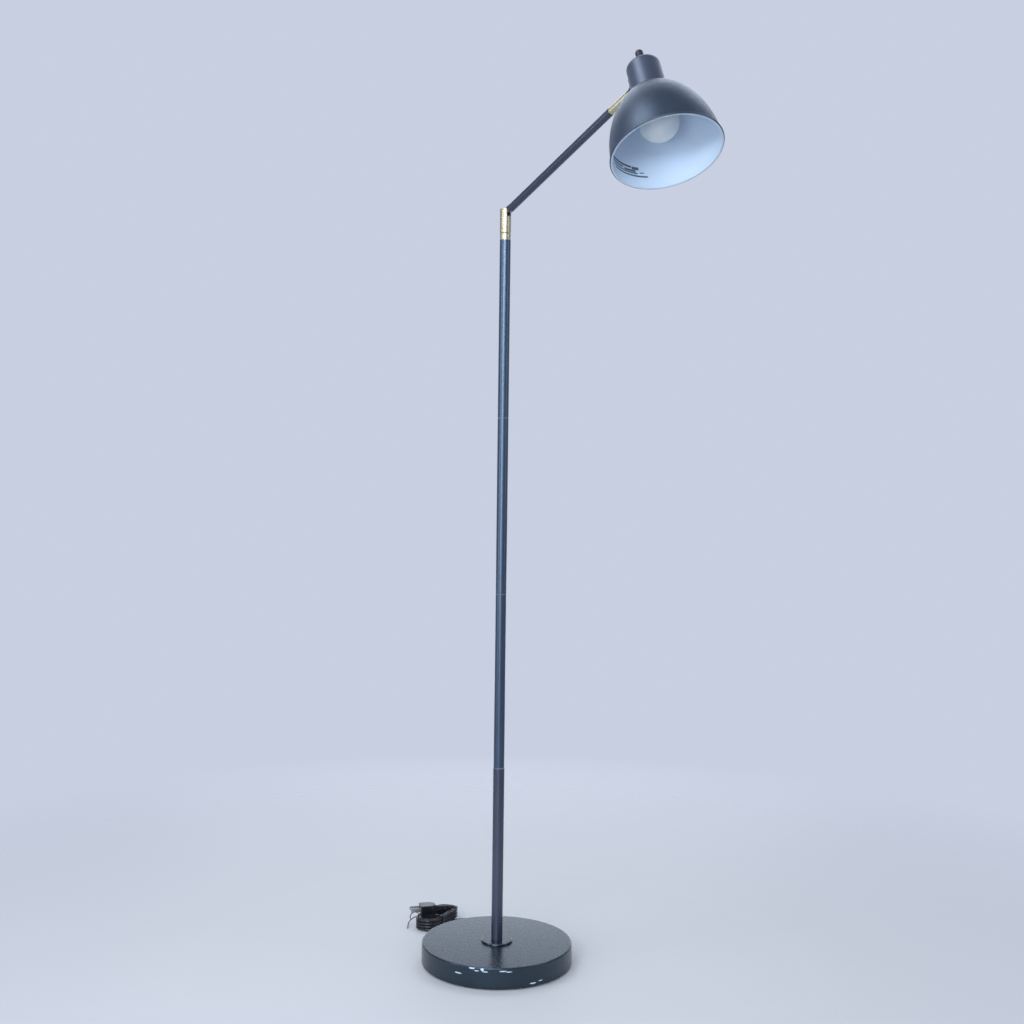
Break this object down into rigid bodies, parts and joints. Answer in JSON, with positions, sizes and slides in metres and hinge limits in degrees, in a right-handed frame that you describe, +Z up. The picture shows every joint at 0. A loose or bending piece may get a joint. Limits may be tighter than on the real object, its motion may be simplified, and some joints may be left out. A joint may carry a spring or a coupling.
{
  "type": "adjustable arm floor lamp",
  "caption": "Floor lamp with a round weighted base, a slim pole, a raised arm on a brass knuckle and a domed shade that swivels and tilts.",
  "frame": {"origin": "centre of the base's underside, on the floor", "axes": "+Z up the pole; the arm heads along +X; the knuckle pin lies along Y"},
  "size_m": [0.6605, 0.24, 1.389],
  "materials": {
    "base_paint": "satin black enamel, lightly worn",
    "pole_paint": "satin black enamel",
    "arm_paint": "satin black enamel",
    "shade_shell": "matt black outside, white enamel inside",
    "iron_weight": "rough cast",
    "brass_satin": "satin brass",
    "brass_plain": "turned brass",
    "plated_steel": "zinc plated",
    "foot_pad": "matt",
    "lead_sheath": "satin plastic sheath",
    "holder_plastic": "moulded",
    "bulb_frosted": "frosted ivory glass",
    "bulb_metal": "plain",
    "knob_black": "satin"
  },
  "bodies": {
    "stand": {"base_cover": "base_paint", "base_weight": "iron_weight", "base_pad": "foot_pad", "base_rod": "plated_steel", "base_nut": "plated_steel", "base_washer": "plated_steel", "foot_ring": "base_paint", "pole_foot_bush": "brass_plain", "pole_tube_1": "pole_paint", "pole_tube_2": "pole_paint", "pole_tube_3": "pole_paint", "pole_tube_4": "pole_paint", "pole_couplers": "brass_plain", "pole_top_bush": "brass_plain", "pole_wire": "lead_sheath", "cord_relief": "lead_sheath", "cord_lead": "lead_sheath", "cord_hank": "lead_sheath", "plug_lead": "lead_sheath", "cord_tie": "lead_sheath", "plug_body": "lead_sheath", "plug_blades": "plated_steel", "swivel_collar": "brass_satin"},
    "swivel": {"elbow_fork": "brass_satin", "swivel_nut": "plated_steel", "elbow_pin": "brass_satin", "elbow_washers": "plated_steel"},
    "arm": {"arm_tongue": "arm_paint", "arm_tube": "arm_paint", "arm_end_bush": "brass_plain", "arm_wire": "lead_sheath"},
    "tip": {"tip_fork": "brass_satin", "tip_retainer": "plated_steel", "tilt_pin": "brass_satin", "tilt_washers": "plated_steel"},
    "head": {"shade_bracket": "arm_paint", "bracket_rivets": "arm_paint", "shade_quarter_front": "shade_shell", "shade_quarter_left": "shade_shell", "shade_quarter_back": "shade_shell", "shade_quarter_right": "shade_shell", "shade_cap": "shade_shell", "cap_ring": "holder_plastic", "lamp_holder": "holder_plastic", "holder_shell": "brass_plain", "holder_contact": "brass_plain", "bulb_glass": "bulb_frosted", "bulb_screw": "bulb_metal", "bulb_contact": "bulb_metal"},
    "knob": {"switch_stem": "plated_steel", "switch_knob": "knob_black"}
  },
  "joints": [
    {"name": "mast_swivel", "type": "hinge", "parent": "stand", "child": "swivel", "pos_m": [0, 0, 1.1581], "axis": [0, 0, 1], "range_deg": [-165, 165]},
    {"name": "elbow_tilt", "type": "hinge", "parent": "swivel", "child": "arm", "pos_m": [0, 0, 1.1889], "axis": [0, -1, 0], "range_deg": [-24, 57]},
    {"name": "head_swivel", "type": "hinge", "parent": "arm", "child": "tip", "pos_m": [0.2587, 0, 1.32645], "axis": [0.8829, 0, 0.4695], "range_deg": [-80, 100]},
    {"name": "head_tilt", "type": "hinge", "parent": "tip", "child": "head", "pos_m": [0.2587, 0, 1.32645], "axis": [0.0734, 0.9877, -0.1381], "range_deg": [-85, 60]},
    {"name": "switch_turn", "type": "hinge", "parent": "head", "child": "knob", "pos_m": [0.28329, 0.00377, 1.36649], "axis": [-0.4637, 0.1564, 0.8721], "continuous": true}
  ]
}
